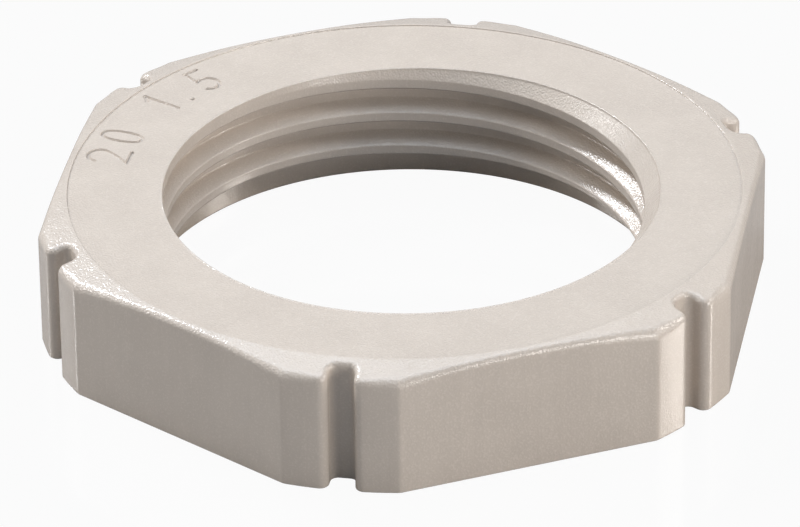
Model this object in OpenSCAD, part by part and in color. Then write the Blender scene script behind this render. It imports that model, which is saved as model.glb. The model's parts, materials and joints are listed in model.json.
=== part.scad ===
// Hexagon locknut for a cable gland, moulded in one piece with a metric fine thread.
// Lengths are in mm, the bottom face lies on z = 0 and the thread's axis is the z axis.

/* [Hexagon] */
// Width across the flats
af = 27; // [25:0.1:30]
// How far the sharp corners are turned down
corner_cut = 1.12; // [0.9:0.02:1.5]
// Overall height, up to the rim around the ring face
height = 5.15; // [4:0.05:8]

/* [Top edge] */
// Distance from the ring face on top to the middle of a flat
ring_margin = 0.36; // [0.25:0.01:0.6]
// How far the ring face lies below the rim around it
ring_step = 0.05; // [0.02:0.01:0.1]
// Width of the rim around the ring face
rim_w = 0.08; // [0.04:0.01:0.15]
// Slope of the cone from the rim out to the corners, in degrees
cone_angle = 14; // [10:1:20]
// Radius of the edge between the cone and a flat
edge_r = 0.36; // [0.2:0.02:0.36]
// Radius of the edge between the cone and a turned corner
corner_edge_r = 0.65; // [0.3:0.05:0.7]

/* [Corner notches] */
// Width of the notch in each corner
notch_w = 1; // [0.8:0.05:1.4]
// Depth of the notch from the turned corner
notch_depth = 0.9; // [0.7:0.05:1.2]
// Radius at both sides of the notch's floor
notch_root_r = 0.3; // [0.1:0.05:0.35]
// Radius of the notch's lips
notch_lip_r = 0.3; // [0.15:0.05:0.4]

/* [Thread hole] */
// Diameter of the thread over its roots
thread_d = 20; // [18:0.5:21]
// Depth of the thread from its crests to its roots
thread_depth = 0.66; // [0.5:0.02:0.9]
// Clearance between the thread's roots and the relief below the thread
relief_gap = 0.3; // [0.1:0.05:0.5]
// Height of the relief's upright wall
relief_h = 0.85; // [0.4:0.05:1.2]
// Height of the slope from the relief to the thread
relief_slope_h = 0.45; // [0.2:0.05:0.8]
// Direction in which the thread runs out through the top, in degrees from the x axis
start_angle = -42; // [-90:1:90]
// Slope of the lead-in against the thread's axis, in degrees
start_slope = 38; // [25:1:45]

/* [Hidden] */
$fn = 120;
past = 1;
slope = tan(cone_angle);

corner_r = af / 2 / cos(30) - corner_cut;
ring_r = af / 2 - ring_margin;
rim_r = ring_r + rim_w;
ring_z = height - ring_step;

// heights of the cone over the middle of a flat and over the turned corners
flat_mid_z = height - (af / 2 - rim_r) * slope;
corner_z = height - (corner_r - rim_r) * slope;

// half a flat, and the radius of the arc that its top edge follows
flat_half = sqrt(corner_r * corner_r - af * af / 4);
flat_drop = flat_mid_z - corner_z;
arc_r = (flat_half * flat_half + flat_drop * flat_drop) / 2 / flat_drop;
arc_half = asin(1.3 * flat_half / arc_r);
// the rounding crosses the cone at this height above it, so that the two don't just graze
edge_lift = 0.004;

root_r = thread_d / 2;
crest_r = root_r - thread_depth;
relief_r = root_r + relief_gap;
// the rim of the lead-in touches the crests on one side and the roots on the other
start_r = root_r - thread_depth / 2;
start_offset = thread_depth / 2 - 0.02;
start_depth = thread_depth / tan(start_slope);

// What is cut off a profile's corner at [x, y], between an upright side and the slope above it
module corner_rounding(x, y, r) {
    centre = [x - r, y + r * slope - r / cos(cone_angle)];
    top = centre + r * [sin(cone_angle), cos(cone_angle)];
    difference() {
        polygon([
            centre,
            [x, centre.y],
            [x + past, centre.y],
            [x + past, y + past],
            [top.x, y + past],
            top
        ]);
        translate(centre) circle(r = r);
    }
}

// The turned form, with the rim and the cone, before the flats are cut
module turned_blank() {
    rotate_extrude() difference() {
        polygon([
            [0, 0],
            [corner_r, 0],
            [corner_r, corner_z],
            [rim_r, height],
            [ring_r, height],
            [ring_r, ring_z],
            [0, ring_z]
        ]);
        corner_rounding(corner_r, corner_z, corner_edge_r);
    }
}

// Rounds the top edge of the flat that faces -Y, along the arc where it meets the cone
module flat_rounding() {
    translate([0, 0, flat_mid_z - arc_r])
        rotate([90, 0, 0])
        rotate_extrude(angle = 2 * arc_half, start = 90 - arc_half)
        mirror([1, -1])
        corner_rounding(af / 2, arc_r + edge_lift, edge_r);
}

// Plan of the notch at the corner on the x axis, with a rounded floor and rounded lips
module notch_plan() {
    floor_x = corner_r - notch_depth;
    lip_x = corner_r - notch_lip_r;
    wall_y = notch_w / 2;
    difference() {
        translate([floor_x, -wall_y - notch_lip_r])
            square([notch_depth + past, notch_w + 2 * notch_lip_r]);
        for (side = [-1, 1]) scale([1, side]) {
            translate([floor_x - past, wall_y])
                square([lip_x - floor_x + past, notch_lip_r + past]);
            translate([lip_x, wall_y + notch_lip_r]) circle(r = notch_lip_r);
            difference() {
                translate([floor_x - past, wall_y - notch_root_r])
                    square([notch_root_r + past, notch_root_r + past]);
                translate([floor_x + notch_root_r, wall_y - notch_root_r])
                    circle(r = notch_root_r);
            }
        }
    }
}

// The hole at the thread's crest diameter, with the relief below and the lead-in on top
module thread_hole() {
    thread_z = relief_h + relief_slope_h;
    rotate_extrude() polygon([
        [0, -past],
        [relief_r, -past],
        [relief_r, relief_h],
        [crest_r, thread_z],
        [crest_r, height + past],
        [0, height + past]
    ]);
    rotate([0, 0, start_angle])
        translate([start_offset, 0, ring_z - start_depth])
        cylinder(
            h = start_depth + past,
            r1 = start_r - thread_depth,
            r2 = start_r + past * tan(start_slope)
        );
}

module locknut() {
    color([0.76, 0.73, 0.69]) difference() {
        intersection() {
            turned_blank();
            cylinder(h = height, d = af / cos(30), $fn = 6);
        }
        for (side = [0:5]) rotate([0, 0, 60 * side]) {
            flat_rounding();
            translate([0, 0, -past])
                linear_extrude(height + 2 * past) notch_plan();
        }
        thread_hole();
    }
}

locknut();
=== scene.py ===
# %% [markdown]
# # A plastic locknut for a cable gland
#
# The object is one moulding: a flat hexagon with turned corners, a small notch in each corner,
# a sunk ring face on top and a fine metric thread through the middle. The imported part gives
# its true sizes and its place, but its hole is plain. This script makes the nut again as one
# fine mesh, with the thread, the soft edges and the size numbers, and lights it like a
# product photograph. It works in millimetres and turns them into metres at the end.
#
# Such a nut could also be cut with modifiers: a cylinder, six cuts, a screw for the thread.
# Written as grids of points it needs no cuts that may fail, every edge gets the radius that
# it should have, and the mesh is closed.

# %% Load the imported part
import json
import math

import bmesh
import bpy
import numpy as np
from mathutils import Matrix, Vector
from mathutils.geometry import delaunay_2d_cdt


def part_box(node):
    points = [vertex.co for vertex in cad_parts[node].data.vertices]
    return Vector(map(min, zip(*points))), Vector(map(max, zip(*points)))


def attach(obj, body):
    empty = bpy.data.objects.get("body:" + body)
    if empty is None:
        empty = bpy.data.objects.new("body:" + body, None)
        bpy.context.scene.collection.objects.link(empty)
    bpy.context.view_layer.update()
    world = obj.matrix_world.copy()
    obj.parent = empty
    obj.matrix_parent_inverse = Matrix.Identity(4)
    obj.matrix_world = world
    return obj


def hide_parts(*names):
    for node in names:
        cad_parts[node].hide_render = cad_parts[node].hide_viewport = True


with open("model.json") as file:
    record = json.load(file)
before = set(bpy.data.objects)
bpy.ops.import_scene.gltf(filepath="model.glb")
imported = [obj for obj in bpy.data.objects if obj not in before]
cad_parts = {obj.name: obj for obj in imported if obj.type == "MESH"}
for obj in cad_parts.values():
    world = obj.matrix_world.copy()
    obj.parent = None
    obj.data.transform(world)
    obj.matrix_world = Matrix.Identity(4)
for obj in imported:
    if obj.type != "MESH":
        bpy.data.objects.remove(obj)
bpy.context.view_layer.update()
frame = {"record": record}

MM = 0.001
mounts = {mount["name"]: mount for mount in frame["record"]["mounts"]}
low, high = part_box("locknut")
print("packed part, mm:", [round(side / MM, 2) for side in high - low])

# %% [markdown]
# ## The camera
#
# A photograph of a round hole and a regular hexagon tells where its camera stood. The values
# below put the nut where the photograph shows it: a long lens from far away, 30 degrees above
# the table, turned so that one corner points a little left of the viewer. The camera's three
# axes are worked out one by one instead of with a tracking constraint, because the photograph
# is also rolled by a fraction of a degree.

# %% Camera
IMAGE_WIDTH = 800
IMAGE_HEIGHT = 527
SENSOR_WIDTH = 36.0
focal_px = 7037.0
centre_px = (396.2, 263.6)
camera_azimuth = math.radians(-109.77)
camera_elevation = math.radians(30.13)
camera_roll = math.radians(-0.777)
camera_distance = 276.7
camera_slide = (-0.388, 1.369)

back = Vector((
    math.cos(camera_azimuth) * math.cos(camera_elevation),
    math.sin(camera_azimuth) * math.cos(camera_elevation),
    math.sin(camera_elevation),
))
level = Vector((-math.sin(camera_azimuth), math.cos(camera_azimuth), 0))
rise = back.cross(level)
right = level * math.cos(camera_roll) + rise * math.sin(camera_roll)
up = rise * math.cos(camera_roll) - level * math.sin(camera_roll)
place = back * camera_distance + right * camera_slide[0] + up * camera_slide[1]

camera_data = bpy.data.cameras.new("camera")
camera_data.sensor_width = SENSOR_WIDTH
camera_data.lens = focal_px * SENSOR_WIDTH / IMAGE_WIDTH
camera_data.shift_x = (IMAGE_WIDTH / 2 - centre_px[0]) / IMAGE_WIDTH
camera_data.shift_y = (centre_px[1] - IMAGE_HEIGHT / 2) / IMAGE_WIDTH
camera_data.clip_start = 0.01
camera = bpy.data.objects.new("camera", camera_data)
turn = Matrix((right, up, back)).transposed().to_4x4()
camera.matrix_world = Matrix.Translation(place * MM) @ turn
bpy.context.scene.collection.objects.link(camera)
bpy.context.scene.camera = camera
bpy.context.scene.view_settings.view_transform = "Standard"
print("lens, mm:", round(camera_data.lens, 1), "camera at, mm:", [round(v, 1) for v in place])

# %% [markdown]
# ## The sizes
#
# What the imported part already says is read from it: the height, the width across the flats,
# the ring face's height and the radius over the thread's crests. The rest are the same values
# that the part was drawn with, apart from the radii of the edges. Edges are what tells a
# moulding from a block: where the light turns over them, the eye reads how the thing was
# made. So each kind of edge has a radius of its own, judged from the width of its highlight.

# %% Sizes in mm
height = high.z / MM
flat_distance = high.y / MM
corner_cut = 1.12
corner_radius = flat_distance / math.cos(math.radians(30)) - corner_cut
ring_z = mounts["ring_face"]["pos_m"][2] / MM
ring_margin = 0.36
ring_radius = flat_distance - ring_margin
rim_width = 0.08
rim_radius = ring_radius + rim_width
cone_angle = 14
cone_slope = math.tan(math.radians(cone_angle))

flat_edge_radius = 0.32
corner_edge_radius = 0.48
bottom_edge_radius = 0.05
upright_radius = 0.5

notch_half = 0.5
notch_depth = 0.9
notch_root_radius = 0.3
notch_lip_radius = 0.36
notch_edge_radius = 0.28
lip_edge_radius = 0.34

pitch = 1.5
crest_radius = mounts["thread"]["dims"]["r_mm"]
root_radius = 10.0
relief_radius = 10.3
relief_height = 0.85
relief_slope_height = 0.45
print("corner radius", round(corner_radius, 3), "ring radius", round(ring_radius, 3))

# %% [markdown]
# ## The plan outline
#
# Seen from above, the nut is a hexagon whose corners are turned off round and cut by a notch.
# One twelfth of that outline is enough: from the middle of a notch to the middle of a flat.
# It is written as straights and arcs, each giving its points and the direction that leads
# into the plastic. Mirrored and turned six times it goes all the way round. A drawn curve
# would give the same line, but not the direction at each point, and that matters because
# every rounded edge is rolled along it later. Points stand close together where the outline
# bends, and at the ends of the straights, so that shading can't creep from a bend into a flat.

# %% One twelfth of the outline
def polar(angle):
    """The unit vector at an angle in degrees."""
    return np.array([math.cos(math.radians(angle)), math.sin(math.radians(angle))])


def straight(start, end, inward, shares):
    """Points at shares of the way from start to end, with one inward direction."""
    start, end = np.array(start), np.array(end)
    points = [start + (end - start) * share for share in shares]
    return [(point, np.array(inward)) for point in points]


def arc(centre, radius, start, end, steps, sign):
    """Points along an arc. The inward direction is sign times the direction from its centre."""
    angles = np.linspace(start, end, steps + 1)
    return [(centre + radius * polar(angle), sign * polar(angle)) for angle in angles]


floor_x = corner_radius - notch_depth
root_centre = np.array([floor_x + notch_root_radius, notch_half - notch_root_radius])
lip_y = notch_half + notch_lip_radius
lip_centre = np.array([math.sqrt((corner_radius - notch_lip_radius) ** 2 - lip_y ** 2), lip_y])
lip_end = math.degrees(math.atan2(lip_centre[1], lip_centre[0]))
bend_in = flat_distance - upright_radius
bend_aside = math.sqrt((corner_radius - upright_radius) ** 2 - bend_in ** 2)
bend_centre = bend_in * polar(30) - bend_aside * polar(120)
bend_start = math.degrees(math.atan2(bend_centre[1], bend_centre[0]))
flat_start = bend_centre + upright_radius * polar(30)

floor_part = straight((floor_x, 0), (floor_x, root_centre[1]), (-1, 0), [0, 0.5, 0.9])
root_part = arc(root_centre, notch_root_radius, 180, 90, 8, 1)
wall_ends = (root_centre[0], notch_half), (lip_centre[0], notch_half)
wall_part = straight(*wall_ends, (0, 1), [0.1, 0.5, 0.9])
lip_part = arc(lip_centre, notch_lip_radius, -90, lip_end, 10, -1)
turned_part = arc(np.zeros(2), corner_radius, lip_end, bend_start, 8, -1)[1:-1]
bend_part = arc(bend_centre, upright_radius, bend_start, 30, 5, -1)
flat_shares = [0.01, 0.05, 0.13, 0.22, 0.32, 0.43, 0.55, 0.67, 0.78, 0.89, 1]
flat_part = straight(flat_start, flat_distance * polar(30), -polar(30), flat_shares)
parts = [floor_part, root_part, wall_part, lip_part, turned_part, bend_part, flat_part]
print("columns in a twelfth:", sum(len(part) for part in parts))

# %% [markdown]
# The skin between the outline and the ring face is stretched over columns, one for each point
# of the outline. Round the notch the columns stand close together on the outline, so on the
# rim they are spread over a wider angle, in the same order. That keeps neighbouring columns
# from crossing. The edge radius also changes there: the notch's own edges are finer than the
# edge round the hexagon.

# %% Go all the way round
NOTCH_PARTS = 4
EDGE_CHANGE = 1.8
rim_stops = [0, 1.3, 3.3, 3.9, 4.9]
edge_stops = [notch_edge_radius] * NOTCH_PARTS + [lip_edge_radius]
edge_stops += [corner_edge_radius] * 2 + [flat_edge_radius]
rim_angles = []
edge_radii = []
for number, part in enumerate(parts):
    for k, (point, inward) in enumerate(part):
        share = k / len(part)
        own = math.degrees(math.atan2(point[1], point[0]))
        if number < NOTCH_PARTS:
            before, after = rim_stops[number], rim_stops[number + 1]
            rim_angles.append(before + share * (after - before))
        else:
            spread = np.interp(own, [lip_end, bend_start], [rim_stops[-1], bend_start])
            rim_angles.append(float(spread) if own < bend_start else own)
        first, last = edge_stops[number], edge_stops[number + 1]
        if part is turned_part or part is flat_part:
            share = min(share * EDGE_CHANGE, 1)
        edge_radii.append(first + (last - first) * share * share * (3 - 2 * share))

twelfth = [pair for part in parts for pair in part]
columns = []
for side in range(6):
    cos, sin = polar(60 * side)
    spin = np.array([[cos, -sin], [sin, cos]])
    order = [(k, -1) for k in range(len(twelfth) - 1, 0, -1)]
    order += [(k, 1) for k in range(len(twelfth) - 1)]
    for k, mirror in order:
        point, inward = twelfth[k]
        flip = np.array([1, mirror])
        angle = 60 * side + mirror * rim_angles[k]
        columns.append((spin @ (point * flip), spin @ (inward * flip), angle, edge_radii[k]))

outline = np.array([column[0] for column in columns])
inward = np.array([column[1] for column in columns])
rim_direction = np.array([polar(column[2]) for column in columns])
edge_radius = np.array([column[3] for column in columns])
print("columns all round:", len(columns))

# %% [markdown]
# ## The outer skin
#
# The skin is a grid: every column of the outline gets the same rows, from the ring face over
# the thin rim, down the cone, round the edge, down the side and round the bottom edge. The
# rounded edge is the arc of a ball rolled between the upright side and the cone. Making the
# arc in code, and not with a bevel, keeps its width even although the edge dips at each
# corner. The arc's last points are eased onto the cone, which the ball only touches, and extra
# rows close to both ends of the arc keep the flats looking flat.

# %% Rows of the outer skin
def cone_height(plan):
    """Height of the cone over points of the plan."""
    return height - (np.linalg.norm(plan, axis=1) - rim_radius) * cone_slope


def row(plan, z):
    """A row of points from plan positions and heights."""
    return np.column_stack([plan, np.broadcast_to(z, len(plan))])


across = (outline / np.linalg.norm(outline, axis=1)[:, None] * inward).sum(1)
tilt = np.arctan(-cone_slope * across)
ball_z = cone_height(outline) + edge_radius * np.tan(tilt) - edge_radius / np.cos(tilt)

ARC_STEPS = 7
CONE_SHARES = (0.1, 0.5, 0.9)
SIDE_SHARES = (0.01, 0.3, 0.65, 0.99)
BOTTOM_ANGLES = (0, 30, 60, 90)
BOTTOM_MARGIN = 0.03
edge_rows = []
for step in range(ARC_STEPS + 1):
    share = step / ARC_STEPS
    swing = share * (math.pi / 2 - tilt)
    plan = outline + inward * (edge_radius * (1 - np.cos(swing)))[:, None]
    z = ball_z + edge_radius * np.sin(swing)
    edge_rows.append(row(plan, z + (cone_height(plan) - z) * share ** 4))
edge_rows.reverse()
arc_top = edge_rows[0]

rim_profile = [(0, ring_z), (0.01, height - 0.012), (0.025, height), (rim_width, height)]
skin = [row(rim_direction * (ring_radius + out), z) for out, z in rim_profile]
rim_plan = rim_direction * rim_radius
for share in CONE_SHARES:
    plan = rim_plan + (arc_top[:, :2] - rim_plan) * share
    skin.append(row(plan, cone_height(plan)))
skin += edge_rows
for share in SIDE_SHARES:
    skin.append(row(outline, ball_z + (bottom_edge_radius - ball_z) * share))
for swing in BOTTOM_ANGLES:
    turn_in = bottom_edge_radius * (1 - math.cos(math.radians(swing)))
    plan = outline + inward * turn_in
    skin.append(row(plan, bottom_edge_radius * (1 - math.sin(math.radians(swing)))))
skin.append(row(outline + inward * (bottom_edge_radius + BOTTOM_MARGIN), 0))
skin.append(row(rim_direction * ring_radius, 0))
print("rows of the skin:", len(skin))

# %% [markdown]
# ## The hole's profile
#
# The thread is a metric fine thread: flanks at 60 degrees to each other, a narrow flat on the
# crests and one in the roots. Its height follows the angle, so the profile is a function of
# the height above the nearest crest's lower edge. Corners of the profile are bevelled by a
# few hundredths of a millimetre, because light catches on moulded edges. A screw modifier
# could wind this profile up, but it couldn't end it: here the helix is one formula for the
# radius over angle and height, and its ends are two more formulas.
#
# At the top the thread runs out. Over one side of the hole the last crest is whole up to the
# rim, and over the other side a lead-in opens it to the thread's roots. So the rim of the hole
# is a little off the axis, and a little oval. At the bottom a wider plain relief cuts the
# thread off.

# %% Profile of the thread and its rim
START_ANGLE = 130.23
START_HEIGHT = 4.57
CREST_FLAT = 0.357
ON_CREST = 0.03
ON_FLANK = 0.015
IN_ROOT = 0.02
flank = math.tan(math.radians(60))
flank_rise = (root_radius - crest_radius) / flank
root_start, root_end = CREST_FLAT + flank_rise, pitch - flank_rise
thread_corners = np.array([
    (ON_CREST, crest_radius),
    (CREST_FLAT - ON_CREST, crest_radius),
    (CREST_FLAT + ON_FLANK, crest_radius + ON_FLANK * flank),
    (root_start - IN_ROOT, root_radius - IN_ROOT * flank),
    (root_start + IN_ROOT, root_radius),
    (root_end - IN_ROOT, root_radius),
    (root_end + IN_ROOT, root_radius - IN_ROOT * flank),
    (pitch - ON_FLANK, crest_radius + ON_FLANK * flank),
    (pitch + ON_CREST, crest_radius),
])
RIM_MEAN = 9.69
RIM_SHIFT, RIM_SHIFT_ANGLE = 0.31, -42
RIM_OVAL, RIM_OVAL_ANGLE = 0.055, 30


def hole_rim(angle):
    """Radius of the hole's top rim, wide where the lead-in opens the thread."""
    shift = RIM_SHIFT * np.cos(np.radians(angle - RIM_SHIFT_ANGLE))
    stretch = RIM_OVAL * np.cos(np.radians(2 * angle - RIM_OVAL_ANGLE))
    return RIM_MEAN + shift + stretch


def softer(first, second, sign, width=0.02):
    """The smaller (sign -1) or the larger (sign 1) of two lengths, with a rounded change."""
    gap = first - second
    return (first + second + sign * np.sqrt(gap * gap + width * width)) / 2


def crest_height(angle):
    """Height of the top crest's lower edge, and how far the thread has run down to it."""
    run = np.mod(START_ANGLE - angle, 360)
    return START_HEIGHT - pitch * run / 360, run


print("rim of the hole, mm:", [round(float(hole_rim(a)), 2) for a in range(0, 360, 60)])

# %% [markdown]
# The radius is put together from three parts. Up to the top crest it is the thread's profile,
# repeated at every pitch. Above that crest the wall widens with the slope of the lead-in, which
# grows to the flank's own slope as the crest runs down. It goes no wider than the roots or, on
# the far side of the hole, than the rim or the next flank, whichever is wider. The relief at
# the bottom counts wherever it is wider than the thread.

# %% Radius over angle and height
LEAD_IN_ENDS, FLANK_WHOLE = 158, 210
LEAD_AT_END = 0.81
FAR_ABOVE = 3
# the profile ends just before the top crest's upper bevel, where both formulas agree
profile_end = CREST_FLAT - ON_CREST - 0.001
relief_slope = (relief_radius - crest_radius) / relief_slope_height


def hole_radius(angle, z):
    """Radius of the threaded hole over an angle in degrees and a height in mm."""
    crest_z, run = crest_height(angle)
    above = z - crest_z
    turns = np.mod(above - ON_CREST, pitch) + ON_CREST
    thread = np.interp(turns, thread_corners[:, 0], thread_corners[:, 1])

    rim = hole_rim(angle)
    lead = (rim - crest_radius) / (ring_z - crest_z - CREST_FLAT)
    later = np.interp(run, [LEAD_IN_ENDS, FLANK_WHOLE], [LEAD_AT_END, flank])
    lead = np.clip(np.where(run < LEAD_IN_ENDS, lead, later), 0, flank)
    stops = [CREST_FLAT - ON_CREST, CREST_FLAT + ON_FLANK, FAR_ABOVE]
    rising = crest_radius + lead * np.interp(above, stops, [0, ON_FLANK, FAR_ABOVE - CREST_FLAT])
    falling = np.interp(above, [pitch - flank_rise, pitch], [root_radius, crest_radius])
    cap = np.where(run < LEAD_IN_ENDS, root_radius, softer(falling, rim, 1))
    top = np.minimum(softer(rising, cap, -1), rising)
    wall = np.where(above < profile_end, thread, top)
    relief = relief_radius - np.clip(z - relief_height, 0, None) * relief_slope
    return np.maximum(wall, relief)


heights = np.array([0.5, 2.0, 3.0, 4.0])
print("radius over angle 0, mm:", hole_radius(0.0, heights).round(2).tolist())

# %% [markdown]
# ## The hole's mesh
#
# The hole's wall is a grid too, with 360 columns. A helix crosses such a grid at a slant, and
# plain rows would turn its edges into saw teeth. So in each column the rows nearest to the
# edges of the thread are pinned to them, and the rows between are spread evenly. The line
# where the thread meets the relief's slope is searched for and pinned in the same way. From
# one column to the next the thread rises, and now and then an edge passes from one row to the
# row above. Every cell is split along that same diagonal, and the edges stay clean.

# %% Rows of the hole
HOLE_COLUMNS = 360
ROW_STEP = 0.03
TOP_GAP = 0.06
PIN_GAP = 0.02
CROSSING_GAP = 0.6 * ROW_STEP
SEARCH_STEP, SEARCH_PAST = 0.002, 0.3
TURNS = 4
CREST_EDGES = 4
top_row_z = ring_z - TOP_GAP
row_count = round(top_row_z / ROW_STEP)
edge_offsets = [-ON_FLANK] + [float(corner[0]) for corner in thread_corners[:-2]]
hole_angles = np.arange(HOLE_COLUMNS) * 360 / HOLE_COLUMNS
search_end = relief_height + relief_slope_height + SEARCH_PAST
search = np.arange(relief_height, search_end, SEARCH_STEP)

hole_z = []
for angle in hole_angles:
    crest_z = crest_height(angle)[0]
    pins = {0: 0.0, row_count: top_row_z, round(relief_height / ROW_STEP): relief_height}
    wanted = []
    for lap in range(TURNS):
        offsets = edge_offsets if lap else edge_offsets[:CREST_EDGES]
        wanted += [crest_z - lap * pitch + offset for offset in offsets]
    profile = hole_radius(angle, search)
    on_slope = np.abs(profile - relief_radius + (search - relief_height) * relief_slope) < 1e-6
    crossing = float(search[on_slope].max())
    for z in wanted:
        if crossing < z < top_row_z - PIN_GAP:
            pins.setdefault(round(z / ROW_STEP), z)
    if min(abs(z - crossing) for z in pins.values()) > CROSSING_GAP:
        pins.setdefault(round(crossing / ROW_STEP), crossing)
    rows = sorted(pins)
    hole_z.append(np.interp(np.arange(row_count + 1), rows, [pins[k] for k in rows]))
hole_z = np.array(hole_z)
hole_r = np.array([hole_radius(angle, z) for angle, z in zip(hole_angles, hole_z)])
hole_r += np.clip(bottom_edge_radius - hole_z, 0, None)
print("rows:", row_count + 1, "radius, mm:", hole_r.min().round(2), hole_r.max().round(2))

# %% [markdown]
# Mould halves leave a hair-thin flash around the hole's top rim. It is the light line that
# the photograph shows there. A few more rows make it, each a little further out and a little
# higher or lower, so that it follows the oval rim by itself. The last row at each end lies
# flat in the ring face or the bottom face, so that those stay evenly shaded.

# %% The hole's rim and grid
flash_out = (0.004, 0.016, 0.034, 0.056, 0.076, 0.1, 0.14)
flash_lift = (-0.025, 0.002, 0.014, 0.014, 0.004, 0, 0)
HOLE_MARGIN = 0.04
hole_direction = np.array([polar(angle) for angle in hole_angles])
hole = [row(hole_direction * (hole_r[:, 0] + HOLE_MARGIN)[:, None], 0)]
for k in range(row_count + 1):
    hole.append(row(hole_direction * hole_r[:, k][:, None], hole_z[:, k]))
for out, lift in zip(flash_out, flash_lift):
    hole.append(row(hole_direction * (hole_r[:, -1] + out)[:, None], ring_z + lift))
print("hole grid:", HOLE_COLUMNS, "x", len(hole))

# %% [markdown]
# ## The size numbers
#
# The thread's size stands in the ring face as sunk numbers, with their tops towards the rim.
# On the real mould they are thin engraved lines with round ends. A text object could be cut
# out of the face, but its letters would have a font's shapes. So each number is a pen stroke:
# a centre line that gets a width. Its outline follows on both sides, round on the outside of
# each bend and mitred on the inside. The same outline with a narrower stroke, lower down, is
# the floor of the groove.

# %% Outline of a pen stroke
STROKE_TOP = 0.09
STROKE_FLOOR = 0.045
STROKE_DEPTH = 0.085
FAN_STEP = 0.5
CAP_STEPS = 7


def fan(centre, start, end, width, steps):
    """Points of an arc round a corner or an end of a stroke, angles in radians."""
    angles = np.linspace(start, end, steps)
    return [centre + width * np.array([math.cos(a), math.sin(a)]) for a in angles]


def one_side(path, width):
    """The line that follows a path at a distance on its left side."""
    points = []
    for k in range(len(path) - 1):
        step = path[k + 1] - path[k]
        heading = math.atan2(step[1], step[0])
        normal = np.array([-math.sin(heading), math.cos(heading)])
        if k > 0:
            bend = (heading - last + math.pi) % (2 * math.pi) - math.pi
            if bend > 0:
                middle = last + bend / 2
                reach = width / math.cos(bend / 2)
                points.append(path[k] + reach * np.array([-math.sin(middle), math.cos(middle)]))
            else:
                steps = 2 + int(abs(bend) / FAN_STEP)
                aside = last + math.pi / 2
                points += fan(path[k], aside, last + bend + math.pi / 2, width, steps)
        if k == 0:
            points.append(path[0] + normal * width)
        if k == len(path) - 2:
            points.append(path[-1] + normal * width)
        last = heading
    return points, heading


def stroke(path, width):
    """The closed outline of a stroke with round ends."""
    path = [np.array(point, float) for point in path]
    left, end_heading = one_side(path, width)
    right, start_heading = one_side(path[::-1], width)
    caps = []
    for point, heading in ((path[-1], end_heading), (path[0], start_heading)):
        cap = fan(point, heading + math.pi / 2, heading - math.pi / 2, width, CAP_STEPS)
        caps.append(cap[1:-1])
    return left + caps[0] + right + caps[1]


print("outline points of a straight stroke:", len(stroke([(0, 0), (1, 0)], STROKE_TOP)))

# %% [markdown]
# Three of the digits have round parts. A bow is a part of an ellipse, given as a path for the
# pen. The zero is a closed ring, so it has no ends: its groove lies between two ovals, which
# are a little squarer than an ellipse.

# %% Round parts of the numbers
SQUARER = 0.85


def bow(centre, radii, start, end, steps):
    """Points of an elliptical arc for a path."""
    (x, y), (wide, tall) = centre, radii
    angles = np.radians(np.linspace(start, end, steps + 1))
    return [(x + wide * math.cos(a), y + tall * math.sin(a)) for a in angles]


def oval(radii, width, steps=36):
    """A closed loop beside an upright oval, at a distance from it."""
    loop = []
    for a in np.radians(np.linspace(0, 360, steps, endpoint=False)):
        cos, sin = math.cos(a), math.sin(a)
        x = radii[0] * math.copysign(abs(cos) ** SQUARER, cos)
        y = radii[1] * math.copysign(abs(sin) ** SQUARER, sin)
        loop.append(np.array([x, y + radii[1]]) + width * np.array([cos, sin]))
    return loop


zero_radii = (0.365, 0.83)
print("outline points of the zero:", len(oval(zero_radii, STROKE_TOP)))

# %% [markdown]
# The numbers are the nominal diameter and the pitch. Each digit is drawn from its own base
# line and middle, and has its own angle on the ring, as they are spaced in the photograph.

# %% Set the numbers on the ring
DIGIT_BASE = 11.07
ZERO_ANGLE = 139.3
DOT_EXTRA = 0.01
two = bow((0, 1.22), (0.46, 0.44), 170, -28, 11) + [(0.06, 0.52), (-0.46, 0), (0.48, 0)]
one = [(-0.29, 1.36), (0, 1.66), (0, 0)]
five = [(0.37, 1.66), (-0.25, 1.66), (-0.31, 0.82)]
five += bow((-0.03, 0.46), (0.43, 0.46), 118, -140, 13)
dot = [(-0.015, 0), (0.015, 0)]


def on_ring(point, angle):
    """Turns a number's own x and y into the plan, at an angle of the ring."""
    outward = polar(angle)
    clockwise = np.array([outward[1], -outward[0]])
    return outward * (DIGIT_BASE + point[1]) + clockwise * point[0]


marks = []
for path, angle in ((two, 147.3), (one, 124.1), (dot, 119.45), (five, 112.5)):
    extra = DOT_EXTRA if path is dot else 0
    widths = (STROKE_TOP + extra, STROKE_FLOOR + extra)
    marks.append([[on_ring(p, angle) for p in stroke(path, width)] for width in widths])
for side in (1, -1):
    loops = [oval(zero_radii, side * width) for width in (STROKE_TOP, STROKE_FLOOR)]
    marks.append([[on_ring(p, ZERO_ANGLE) for p in loop] for loop in loops])
print("outline points of the numbers:", sum(len(mark[0]) for mark in marks))

# %% [markdown]
# ## Joining it up
#
# The nut is one moulding, so its mesh has to be one closed skin. The outside and the hole are
# two grids. Rows of points can be bridged by hand, but all rows of a grid hold the same number
# of points, so counting is enough to name the corners of each cell. The hole's cells are split
# along the diagonal that the thread's edges follow.

# %% Cells of the two grids
points = []
faces = []


def add_rows(rows, split):
    """Adds a closed grid. Its cells are split along one diagonal where split is set."""
    first = len(points)
    width = len(rows[0])
    for one_row in rows:
        points.extend(one_row.tolist())
    for k in range(len(rows) - 1):
        for j in range(width):
            a, b = first + k * width + j, first + k * width + (j + 1) % width
            c, d = b + width, a + width
            faces.extend([(a, b, c), (a, c, d)] if split else [(a, b, c, d)])
    last_row = list(range(first + (len(rows) - 1) * width, first + len(rows) * width))
    return list(range(first, first + width)), last_row


skin_top, skin_bottom = add_rows(skin, False)
hole_bottom, hole_top = add_rows(hole, True)
print("points in the grids:", len(points), "faces:", len(faces))

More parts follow.
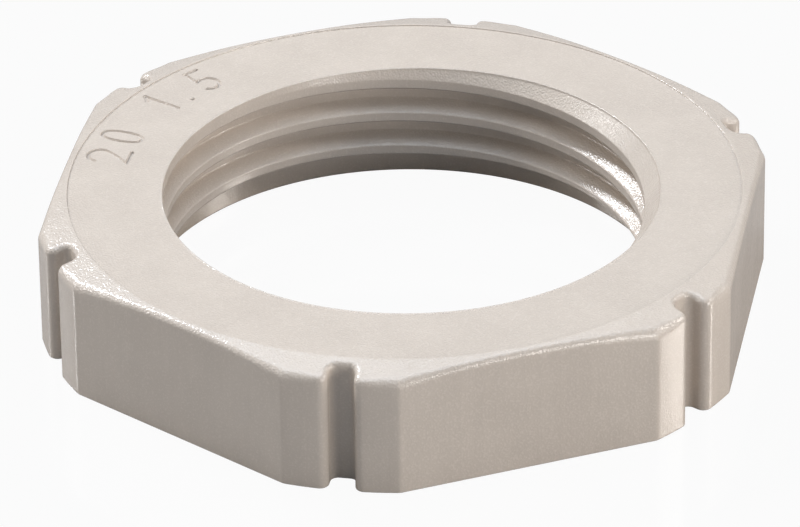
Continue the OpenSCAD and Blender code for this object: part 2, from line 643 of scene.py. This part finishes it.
# %% [markdown]
# Each number's groove has a sloping wall between its outline in the ring face and the narrower
# outline on the floor.

# %% Walls of the numbers
mark_loops = []
for upper, lower in marks:
    loop = list(range(len(points), len(points) + len(upper)))
    points.extend([[*point, ring_z] for point in upper])
    points.extend([[*point, ring_z - STROKE_DEPTH] for point in lower])
    mark_loops.append(loop)
    for k, a in enumerate(loop):
        b = loop[(k + 1) % len(loop)]
        faces.append((a, b, b + len(loop), a + len(loop)))
print("loops of the numbers:", len(mark_loops))

# %% [markdown]
# The ring face and the bottom face are flat. A boolean could cut the numbers out of a face,
# but it easily leaves slivers that shade badly. So the flat faces are filled with triangles
# between their outlines, the numbers' outlines included. The filling covers the hole too. To
# sort the triangles, a line is drawn from each one's centre to the right, and its crossings
# with an outline are counted.

# %% Triangles between outlines
MERGE_DISTANCE = 1e-7
WHOLE_HULL = 0


def crossings(loops, centres):
    """How many edges of the loops lie to the right of each point: odd inside, even outside."""
    count = np.zeros(len(centres), int)
    for loop in loops:
        loop = np.array(loop)
        following = np.roll(loop, -1, axis=0)
        for (x0, y0), (x1, y1) in zip(loop, following):
            spans = (y0 > centres[:, 1]) != (y1 > centres[:, 1])
            if spans.any():
                edge_x = x0 + (centres[:, 1] - y0) * (x1 - x0) / (y1 - y0 + 1e-12)
                count += spans & (edge_x > centres[:, 0])
    return count


def fill(loops):
    """Triangles between closed loops of point numbers, with the centre of each triangle."""
    order = [index for loop in loops for index in loop]
    flat = [Vector(points[index][:2]) for index in order]
    edges, start = [], 0
    for loop in loops:
        edges += [(start + k, start + (k + 1) % len(loop)) for k in range(len(loop))]
        start += len(loop)
    found = delaunay_2d_cdt(flat, edges, [], WHOLE_HULL, MERGE_DISTANCE, True)
    source = [order[origin[0]] for origin in found[3]]
    triangles = [tuple(source[corner] for corner in triangle) for triangle in found[2]]
    centres = [np.mean([points[i][:2] for i in triangle], axis=0) for triangle in triangles]
    return triangles, np.array(centres)


triangles, centres = fill([skin_top, hole_top] + mark_loops)
print("triangles over the ring face and the hole:", len(triangles))

# %% [markdown]
# The ring face keeps the triangles outside the hole. What falls inside a number goes down to
# the floor of its groove. The bottom face is filled in the same way.

# %% Ring face and bottom face
on_face = crossings([[points[index][:2] for index in hole_top]], centres) % 2 == 0
in_mark = crossings([mark[0] for mark in marks], centres) % 2 == 1
sunk = {index: index + len(loop) for loop in mark_loops for index in loop}
for triangle, keep, low_one in zip(triangles, on_face, in_mark):
    if low_one:
        faces.append(tuple(sunk[corner] for corner in triangle))
    elif keep:
        faces.append(triangle)

triangles, centres = fill([skin_bottom, hole_bottom])
on_face = crossings([[points[index][:2] for index in hole_bottom]], centres) % 2 == 0
faces.extend(triangle for triangle, keep in zip(triangles, on_face) if keep)
print("faces:", len(faces))

# %% [markdown]
# The mesh gets its faces turned outwards and smooth shading, except over edges of more than
# 35 degrees. The rounded edges bend in smaller steps than that and look round, and the small
# steps round the ring face and in the numbers stay sharp.

# %% The nut
SHARP_ANGLE = 35
mesh = bpy.data.meshes.new("locknut")
mesh.from_pydata([[value * MM for value in point] for point in points], [], faces)
mesh.update()
work = bmesh.new()
work.from_mesh(mesh)
open_edges = sum(1 for edge in work.edges if len(edge.link_faces) != 2)
bmesh.ops.recalc_face_normals(work, faces=work.faces)
volume = work.calc_volume() / MM ** 3
work.to_mesh(mesh)
work.free()
for polygon in mesh.polygons:
    polygon.use_smooth = True
mesh.set_sharp_from_angle(angle=math.radians(SHARP_ANGLE))
nut = bpy.data.objects.new("locknut_moulding", mesh)
bpy.context.scene.collection.objects.link(nut)
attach(nut, "root")
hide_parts("locknut")
triangle_count = sum(len(polygon.vertices) - 2 for polygon in mesh.polygons)
print("triangles:", triangle_count, "open edges:", open_edges, "volume, mm3:", round(volume, 1))

# %% [markdown]
# ## A way to write materials
#
# A shader is a formula. Its nodes can be placed by hand, but then the formula is hard to read
# back. The two small classes below let it be written as one line of sums. The first stands
# for a socket that can be added to, subtracted and multiplied, with numbers or other sockets.

# %% Sockets that can be calculated with
class Field:
    """An output of a shader node that takes part in sums like a number."""

    def __init__(self, graph, socket):
        self.graph = graph
        self.socket = socket

    def __add__(self, other):
        return self.graph.math("ADD", self, other)

    def __sub__(self, other):
        return self.graph.math("SUBTRACT", self, other)

    def __rsub__(self, other):
        return self.graph.math("SUBTRACT", other, self)

    def __mul__(self, other):
        return self.graph.math("MULTIPLY", self, other)

    __radd__ = __add__
    __rmul__ = __mul__

    def ramp(self, low_end, high_end, first=0.0, last=1.0):
        """Runs smoothly from first to last while this value goes from one end to the other."""
        settings = {"interpolation_type": "SMOOTHSTEP"}
        values = [self, low_end, high_end, first, last]
        return self.graph.add("ShaderNodeMapRange", settings, values)


# %% [markdown]
# The second class holds the nodes of one material. One method adds any node with its settings
# and inputs, and the others are short forms of it for nodes that are needed often.

# %% The nodes of a material
class Graph:
    """The nodes of a material or of the world."""

    def __init__(self, owner):
        self.owner = owner
        owner.use_nodes = True
        self.tree = owner.node_tree
        self.tree.nodes.clear()

    def add(self, kind, settings=None, inputs=None, output=0):
        """Adds a node. Its inputs come as a list in order, or by name or number in a dictionary."""
        node = self.tree.nodes.new(kind)
        for name, value in (settings or {}).items():
            setattr(node, name, value)
        pairs = inputs.items() if isinstance(inputs, dict) else enumerate(inputs or [])
        for name, value in pairs:
            if isinstance(value, Field):
                self.tree.links.new(value.socket, node.inputs[name])
            elif value is not None:
                node.inputs[name].default_value = value
        return Field(self, node.outputs[output]) if node.outputs else None

    def math(self, operation, first, second):
        """A calculation with two values."""
        return self.add("ShaderNodeMath", {"operation": operation}, [first, second])

    def scaled(self, vector, factors):
        """A vector times three factors."""
        settings = {"operation": "MULTIPLY"}
        return self.add("ShaderNodeVectorMath", settings, [vector, factors])

    def noise(self, vector, scale, detail, roughness):
        """A grey noise from 0 to 1 with about scale lumps to a unit of length."""
        values = {"Vector": vector, "Scale": scale, "Detail": detail, "Roughness": roughness}
        return self.add("ShaderNodeTexNoise", None, values)

    def blend(self, share, first, second):
        """Mixes two colours. The node's colours are its inputs 6 and 7 and its output 2."""
        first, second = (c if isinstance(c, Field) else (*c, 1) for c in (first, second))
        values = {0: share, 6: first, 7: second}
        return self.add("ShaderNodeMix", {"data_type": "RGBA"}, values, output=2)

    def finish(self, surface):
        """Makes a shader the surface, and gives the material back."""
        self.add("ShaderNodeOutputMaterial", None, [surface])
        return self.owner


# %% [markdown]
# ## The plastic
#
# The nut is glass-filled polyamide in a warm light grey. Up close it is not one grey: there
# are faint clouds, upright streaks that the mould left on the sides, and fibres near the skin
# that make it grainy. Where light grazes it, the grain turns a highlight into a fine sparkle.
# The upright faces slid along the mould and came out smoother.
#
# A picture of real plastic could be laid over the nut, but the nut would have to be unwrapped
# for it and would show seams. Noise in the object's own space has none. The grain is a bump
# and not part of the mesh, because it is finer than the mesh. Noise scales are in lumps to a
# millimetre.

# %% Polyamide
GRAIN_HEIGHT = 0.017
DARKER, LIGHTER = (0.485, 0.425, 0.37), (0.51, 0.448, 0.39)
GRAIN_COLOUR = (0.62, 0.56, 0.50)
STREAK_COLOUR = (0.46, 0.40, 0.35)
plastic = Graph(bpy.data.materials.new("grey_polyamide"))
position = plastic.add("ShaderNodeTexCoord", output="Object")
in_mm = plastic.scaled(position, (1 / MM, 1 / MM, 1 / MM))

clouds = plastic.noise(in_mm, 0.45, 3, 0.55)
grain = plastic.noise(in_mm, 13, 0, 0.5)
pits = plastic.noise(in_mm, 5, 2, 0.6)
streaks = plastic.noise(plastic.scaled(in_mm, (1, 1, 0.06)), 2.5, 3, 0.6)
colour = plastic.blend(clouds.ramp(0.3, 0.7), DARKER, LIGHTER)
colour = plastic.blend(grain.ramp(0.5, 0.8) * 0.3, colour, GRAIN_COLOUR)
colour = plastic.blend(streaks.ramp(0.35, 0.7) * 0.25, colour, STREAK_COLOUR)
roughness = 0.21 + clouds * 0.04 + (pits - 0.5) * 0.12
normal = plastic.add("ShaderNodeTexCoord", output="Normal")
facing_up = plastic.add("ShaderNodeSeparateXYZ", None, [normal], "Z").ramp(0.05, 0.35, 0.3, 1.0)
height_map = (grain * facing_up + pits * 0.15 + streaks * 0.4) * (GRAIN_HEIGHT * MM)
bump = plastic.add("ShaderNodeBump", None, {"Strength": 1.0, "Distance": 1.0, "Height": height_map})
surface = plastic.add("ShaderNodeBsdfPrincipled", None, {
    "Base Color": colour,
    "Roughness": roughness,
    "Normal": bump,
    "IOR": 1.55,
})
nut.data.materials.append(plastic.finish(surface))
print("material:", nut.data.materials[0].name, "nodes:", len(plastic.tree.nodes))

# %% [markdown]
# ## The table and the light
#
# The photograph is a cut-out product shot: everything around the nut is white. Here the table
# is a white sheet that shows nearly full white to the camera and keeps a trace of the nut's
# shadow. To the nut it is a greyish, partly glossy sheet: it throws a little light back up at
# the sides, and a blurred mirror image of the lamps into the hole. It lies a hundredth of a
# millimetre below the nut, so that the two faces don't share one plane.

# %% Table
WHITE = (1, 1, 1, 1)
PAPER_GREY = (0.26, 0.26, 0.26, 1)
PAPER_GLOSS = 0.35
PAPER_ROUGHNESS = 0.12
SEEN_WHITE = 0.95
TABLE_HALF = 0.6
TABLE_Z = -0.01 * MM
paper = Graph(bpy.data.materials.new("white_paper"))
rays = paper.add("ShaderNodeLightPath", output="Is Camera Ray")
matt = paper.add("ShaderNodeBsdfDiffuse", None, [PAPER_GREY])
gloss = paper.add("ShaderNodeBsdfAnisotropic", None, {"Color": WHITE, "Roughness": PAPER_ROUGHNESS})
sheet = paper.add("ShaderNodeMixShader", None, [PAPER_GLOSS, matt, gloss])
glow = paper.add("ShaderNodeEmission", None, [WHITE, 1.0])
white_sheet = paper.add("ShaderNodeMixShader", None, [rays * SEEN_WHITE, sheet, glow])

table_mesh = bpy.data.meshes.new("table")
signs = ((-1, -1), (1, -1), (1, 1), (-1, 1))
corners = [(x * TABLE_HALF, y * TABLE_HALF, TABLE_Z) for x, y in signs]
table_mesh.from_pydata(corners, [], [(0, 1, 2, 3)])
table_mesh.materials.append(paper.finish(white_sheet))
table = bpy.data.objects.new("table", table_mesh)
bpy.context.scene.collection.objects.link(table)
print("table, m:", 2 * TABLE_HALF)

# %% [markdown]
# The photograph has no background. A white world would do for that, but it would light the nut
# from all sides and leave it flat. So the world is white only to rays that come straight from
# the camera, and dim to all others, and the lamps shape the nut.

# %% World
ROOM_LIGHT = 0.03
world = bpy.data.worlds.new("studio")
bpy.context.scene.world = world
room = Graph(world)
camera_rays = room.add("ShaderNodeLightPath", output="Is Camera Ray")
dim = room.add("ShaderNodeBackground", None, [WHITE, ROOM_LIGHT])
bright = room.add("ShaderNodeBackground", None, [WHITE, 1.0])
sky = room.add("ShaderNodeMixShader", None, [camera_rays, dim, bright])
room.add("ShaderNodeOutputWorld", None, [sky])
print("room light:", ROOM_LIGHT)

# %% [markdown]
# Each lamp is a square sheet of light that faces the nut. Its place is given as a direction
# and a height, both in degrees, with 0 along the x axis. A picture of a studio could light the
# nut too, but lamps can be moved one by one until each face has its own grey.
#
# The broad one overhead makes the ring face bright and slightly cool. Two small ones behind
# the nut on the left make the grain of the lead-in and of the left cone sparkle, and a weak
# one draws the edge at the back. Those on the left, on the right and low in front give each
# side of the hexagon its own grey, and the one high in front rounds the edges off.

# %% Lamps
LAMP_DISTANCE = 0.4


def lamp(name, azimuth, elevation, side, power, colour=(1, 1, 1)):
    """Adds a square lamp of the given side in metres and power in watts."""
    light = bpy.data.lights.new(name, "AREA")
    light.shape = "SQUARE"
    light.size = side
    light.energy = power
    light.color = colour
    a, e = math.radians(azimuth), math.radians(elevation)
    towards = Vector((math.cos(a) * math.cos(e), math.sin(a) * math.cos(e), math.sin(e)))
    stand = bpy.data.objects.new(name, light)
    stand.location = towards * LAMP_DISTANCE
    stand.rotation_euler = towards.to_track_quat("Z", "Y").to_euler()
    bpy.context.scene.collection.objects.link(stand)
    return light


COOL = (0.76, 0.87, 1)
# each line: name, direction and height in degrees, side in m, power in W, colour
lamps = [
    lamp("lamp_overhead", 70, 84, 0.38, 1.38, COOL),
    lamp("lamp_front_high", 246, 60, 0.28, 0.22, COOL),
    lamp("lamp_spark", 117, 42, 0.06, 1.25, (0.95, 0.97, 1)),
    lamp("lamp_spark_low", 145, 27, 0.07, 0.26),
    lamp("lamp_left", 160, 36, 0.26, 0.42, (1, 0.90, 0.80)),
    lamp("lamp_back_edge", 93, 50, 0.06, 0.06, COOL),
    lamp("lamp_right", 342, 30, 0.10, 0.56, (1, 0.94, 0.88)),
    lamp("lamp_right_low", 325, 8, 0.14, 0.15, (1, 0.95, 0.93)),
    lamp("lamp_front_right", 298, 9, 0.17, 0.92, (1, 0.96, 0.92)),
]
print("lamps:", len(lamps), "total power, W:", round(sum(light.energy for light in lamps), 2))
